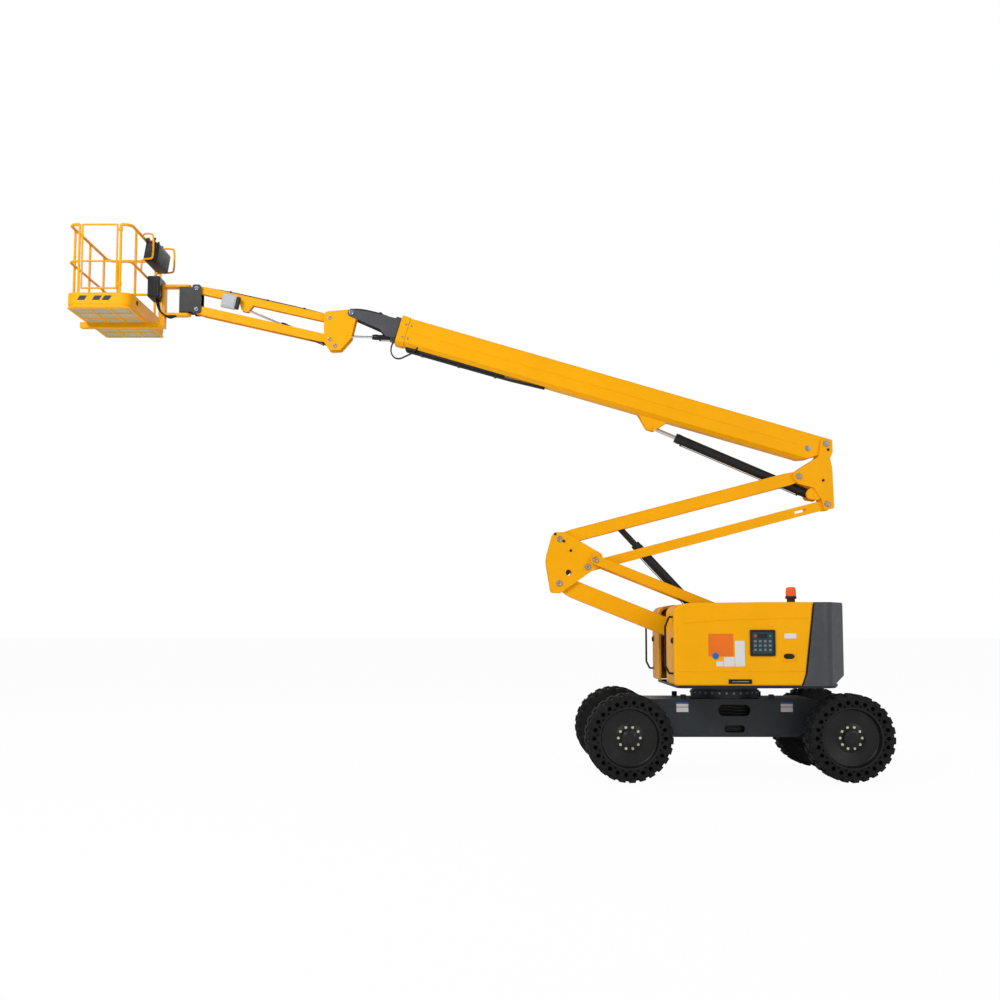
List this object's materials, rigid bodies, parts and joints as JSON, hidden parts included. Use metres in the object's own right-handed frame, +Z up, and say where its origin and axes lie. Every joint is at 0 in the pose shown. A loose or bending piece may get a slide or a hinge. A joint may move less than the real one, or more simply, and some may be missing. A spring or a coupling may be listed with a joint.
{
  "type": "articulating boom lift",
  "caption": "Self-propelled lift with a folding riser, telescopic boom, jib and a railed work basket on a slewing turret with four wheels.",
  "frame": {"origin": "centre of the machine's box on the ground", "axes": "+X from the basket to the counterweight, +Y to the far side, +Z up"},
  "size_m": [10.2624, 2.383, 6.9299],
  "materials": {
    "yellow_paint": "gloss",
    "slate_paint": "satin",
    "grey_paint": "satin",
    "cast_weight": "satin",
    "black_paint": "satin",
    "chrome_rod": "polished",
    "tyre_rubber": "matt",
    "black_plastic": "matt",
    "amber_lens": "gloss",
    "floor_steel": "satin"
  },
  "bodies": {
    "chassis": {"chassis_frame": "slate_paint", "slew_ring": "slate_paint", "front_axle": "slate_paint", "rear_axle": "slate_paint"},
    "steer_near": {"steering_knuckle_near": "black_paint"},
    "steer_far": {"steering_knuckle_far": "black_paint"},
    "turret": {"turntable": "slate_paint", "counterweight": "cast_weight", "engine_block": "cast_weight", "fluid_tank": "black_plastic"},
    "near_hood": {"hood_near": "yellow_paint", "grab_handle_near": "black_paint", "control_panel": "black_plastic", "beacon": "amber_lens"},
    "far_hood": {"hood_far": "yellow_paint", "grab_handle_far": "black_paint"},
    "arm_low": {"lower_arm": "yellow_paint"},
    "link_low": {"lower_link": "yellow_paint"},
    "knuckle_body": {"knuckle": "yellow_paint"},
    "arm_up": {"upper_arm": "yellow_paint"},
    "tie_up": {"upper_tie": "yellow_paint"},
    "head_body": {"head": "yellow_paint"},
    "boom": {"outer_boom": "yellow_paint", "cable_tray": "black_plastic"},
    "boom_slide": {"inner_boom": "grey_paint", "boom_fork": "grey_paint"},
    "jib_foot": {"jib_base": "yellow_paint"},
    "jib_top_bar": {"jib_upper_bar": "yellow_paint"},
    "jib_low_bars": {"jib_lower_bars": "yellow_paint"},
    "jib_end": {"jib_head": "black_paint"},
    "basket": {"basket_support": "yellow_paint", "basket_floor": "floor_steel", "toe_board": "yellow_paint", "basket_rails": "yellow_paint", "platform_console": "black_plastic"},
    "gate": {"basket_gate": "yellow_paint"},
    "tower_cyl": {"tower_barrel": "black_paint"},
    "tower_cyl_rod": {"tower_rod": "black_paint"},
    "lift_cyl": {"lift_barrel": "black_paint"},
    "lift_cyl_rod": {"lift_rod": "chrome_rod"},
    "jib_cyl": {"jib_barrel": "black_paint"},
    "jib_cyl_rod": {"jib_rod": "chrome_rod"},
    "level_cyl": {"level_barrel": "black_paint"},
    "level_cyl_rod": {"level_rod": "chrome_rod"},
    "wheel_front_near": {"tyre_front_near": "tyre_rubber", "rim_front_near": "black_paint"},
    "wheel_front_far": {"tyre_front_far": "tyre_rubber", "rim_front_far": "black_paint"},
    "wheel_rear_near": {"tyre_rear_near": "tyre_rubber", "rim_rear_near": "black_paint"},
    "wheel_rear_far": {"tyre_rear_far": "tyre_rubber", "rim_rear_far": "black_paint"}
  },
  "joints": [
    {"name": "steer_near_turn", "type": "hinge", "parent": "chassis", "child": "steer_near", "pos_m": [4.60225, -0.72, 0.529], "axis": [0, 0, 1], "range_deg": [-30, 30]},
    {"name": "wheel_front_near_spin", "type": "hinge", "parent": "chassis", "child": "wheel_front_near", "pos_m": [1.93525, -0.9975, 0.529], "axis": [0, 1, 0], "continuous": true},
    {"name": "wheel_rear_near_spin", "type": "hinge", "parent": "steer_near", "child": "wheel_rear_near", "pos_m": [4.60225, -0.9975, 0.529], "axis": [0, 1, 0], "continuous": true},
    {"name": "steer_far_turn", "type": "hinge", "parent": "chassis", "child": "steer_far", "pos_m": [4.60225, 0.72, 0.529], "axis": [0, 0, 1], "range_deg": [-30, 30]},
    {"name": "wheel_front_far_spin", "type": "hinge", "parent": "chassis", "child": "wheel_front_far", "pos_m": [1.93525, 0.9975, 0.529], "axis": [0, 1, 0], "continuous": true},
    {"name": "wheel_rear_far_spin", "type": "hinge", "parent": "steer_far", "child": "wheel_rear_far", "pos_m": [4.60225, 0.9975, 0.529], "axis": [0, 1, 0], "continuous": true},
    {"name": "slew", "type": "hinge", "parent": "chassis", "child": "turret", "pos_m": [3.26875, 0, 1.12], "axis": [0, 0, 1], "continuous": true},
    {"name": "near_hood_open", "type": "hinge", "parent": "turret", "child": "near_hood", "pos_m": [3.26875, -0.396, 2.11], "axis": [-1, 0, 0], "range_deg": [0, 55]},
    {"name": "far_hood_open", "type": "hinge", "parent": "turret", "child": "far_hood", "pos_m": [3.26875, 0.396, 2.11], "axis": [1, 0, 0], "range_deg": [0, 55]},
    {"name": "riser_lift", "type": "hinge", "parent": "turret", "child": "arm_low", "pos_m": [4.11175, 0, 1.221], "axis": [0, 1, 0], "range_deg": [-10, 38]},
    {"name": "link_follow", "type": "hinge", "parent": "turret", "child": "link_low", "pos_m": [4.57475, 0, 1.519], "axis": [0, 1, 0], "range_deg": [-10.01, 38.01]},
    {"name": "knuckle_level", "type": "hinge", "parent": "arm_low", "child": "knuckle_body", "pos_m": [1.14476, 0, 2.41974], "axis": [0, 1, 0], "range_deg": [-38.01, 10.01]},
    {"name": "upper_arm_lift", "type": "hinge", "parent": "knuckle_body", "child": "arm_up", "pos_m": [1.15076, 0, 2.98774], "axis": [0, -1, 0], "range_deg": [-10.01, 38.01]},
    {"name": "upper_tie_follow", "type": "hinge", "parent": "knuckle_body", "child": "tie_up", "pos_m": [1.51076, 0, 2.62774], "axis": [0, -1, 0], "range_deg": [-10.01, 38.01]},
    {"name": "head_level", "type": "hinge", "parent": "arm_up", "child": "head_body", "pos_m": [4.24602, 0, 3.79977], "axis": [0, -1, 0], "range_deg": [-38.01, 10.01]},
    {"name": "tower_cyl_turn", "type": "hinge", "parent": "arm_low", "child": "tower_cyl", "pos_m": [3.17192, 0, 1.80456], "axis": [0, 1, 0], "range_deg": [-4.76, 1.26]},
    {"name": "tower_rod_reach", "type": "slide", "parent": "tower_cyl", "child": "tower_cyl_rod", "axis": [-0.6801, 0, 0.7331], "range_m": [-0.29721, 1.12798]},
    {"name": "boom_lift", "type": "hinge", "parent": "head_body", "child": "boom", "pos_m": [4.60602, 0, 4.22377], "axis": [0, 1, 0], "range_deg": [-16.3, 53.7]},
    {"name": "lift_cyl_turn", "type": "hinge", "parent": "head_body", "child": "lift_cyl", "pos_m": [4.41802, 0, 3.56977], "axis": [0, 1, 0], "range_deg": [-14.52, 47.8]},
    {"name": "lift_rod_reach", "type": "slide", "parent": "lift_cyl", "child": "lift_cyl_rod", "axis": [-0.9185, 0, 0.3953], "range_m": [-0.16721, 0.54972]},
    {"name": "telescope", "type": "slide", "parent": "boom", "child": "boom_slide", "axis": [-0.9598, 0, 0.2807], "range_m": [0, 3]},
    {"name": "jib_foot_level", "type": "hinge", "parent": "boom_slide", "child": "jib_foot", "pos_m": [-1.56158, 0, 5.95645], "axis": [0, 1, 0], "range_deg": [-53.71, 16.31]},
    {"name": "level_cyl_turn", "type": "hinge", "parent": "boom_slide", "child": "level_cyl", "pos_m": [-0.73458, 0, 5.63745], "axis": [0, 1, 0], "range_deg": [-1.23, 4.04]},
    {"name": "level_rod_reach", "type": "slide", "parent": "level_cyl", "child": "level_cyl_rod", "axis": [-0.9995, 0, 0.0326], "range_m": [-0.26012, 0.0793]},
    {"name": "jib_lift", "type": "hinge", "parent": "jib_foot", "child": "jib_top_bar", "pos_m": [-1.84258, 0, 5.89045], "axis": [0, 1, 0], "range_deg": [-70, 47]},
    {"name": "jib_low_follow", "type": "hinge", "parent": "jib_foot", "child": "jib_low_bars", "pos_m": [-1.84258, 0, 5.61045], "axis": [0, 1, 0], "range_deg": [-70.01, 47.01]},
    {"name": "jib_end_level", "type": "hinge", "parent": "jib_top_bar", "child": "jib_end", "pos_m": [-3.59785, 0, 6.28924], "axis": [0, 1, 0], "range_deg": [-47.01, 70.01]},
    {"name": "jib_cyl_turn", "type": "hinge", "parent": "jib_foot", "child": "jib_cyl", "pos_m": [-1.77558, 0, 5.52445], "axis": [0, 1, 0], "range_deg": [-64.76, 43.48]},
    {"name": "jib_rod_reach", "type": "slide", "parent": "jib_cyl", "child": "jib_cyl_rod", "axis": [-0.9206, 0, 0.3906], "range_m": [-0.3658, 0.24577]},
    {"name": "basket_swing", "type": "hinge", "parent": "jib_end", "child": "basket", "pos_m": [-3.76125, 0, 5.85], "axis": [0, 0, 1], "range_deg": [-90, 90]},
    {"name": "gate_open", "type": "hinge", "parent": "basket", "child": "gate", "pos_m": [-4.39125, -0.8787, 5.85], "axis": [0, 0, -1], "range_deg": [0, 90]}
  ],
  "couplings": [
    {"joint": "steer_far_turn", "follows": "steer_near_turn", "ratio": 1},
    {"joint": "link_follow", "follows": "riser_lift", "ratio": 1},
    {"joint": "knuckle_level", "follows": "riser_lift", "ratio": -1},
    {"joint": "upper_arm_lift", "follows": "riser_lift", "ratio": 1},
    {"joint": "upper_tie_follow", "follows": "riser_lift", "ratio": 1},
    {"joint": "head_level", "follows": "riser_lift", "ratio": -1},
    {"joint": "tower_cyl_turn", "follows": "riser_lift", "ratio": -0.125},
    {"joint": "tower_rod_reach", "follows": "riser_lift", "m_per_rad": 1.7},
    {"joint": "lift_cyl_turn", "follows": "boom_lift", "ratio": 0.89},
    {"joint": "lift_rod_reach", "follows": "boom_lift", "m_per_rad": 0.586},
    {"joint": "jib_foot_level", "follows": "boom_lift", "ratio": -1},
    {"joint": "level_cyl_turn", "follows": "boom_lift", "ratio": 0.075},
    {"joint": "level_rod_reach", "follows": "boom_lift", "m_per_rad": -0.277},
    {"joint": "jib_low_follow", "follows": "jib_lift", "ratio": 1},
    {"joint": "jib_end_level", "follows": "jib_lift", "ratio": -1},
    {"joint": "jib_cyl_turn", "follows": "jib_lift", "ratio": 0.925},
    {"joint": "jib_rod_reach", "follows": "jib_lift", "m_per_rad": 0.299}
  ]
}
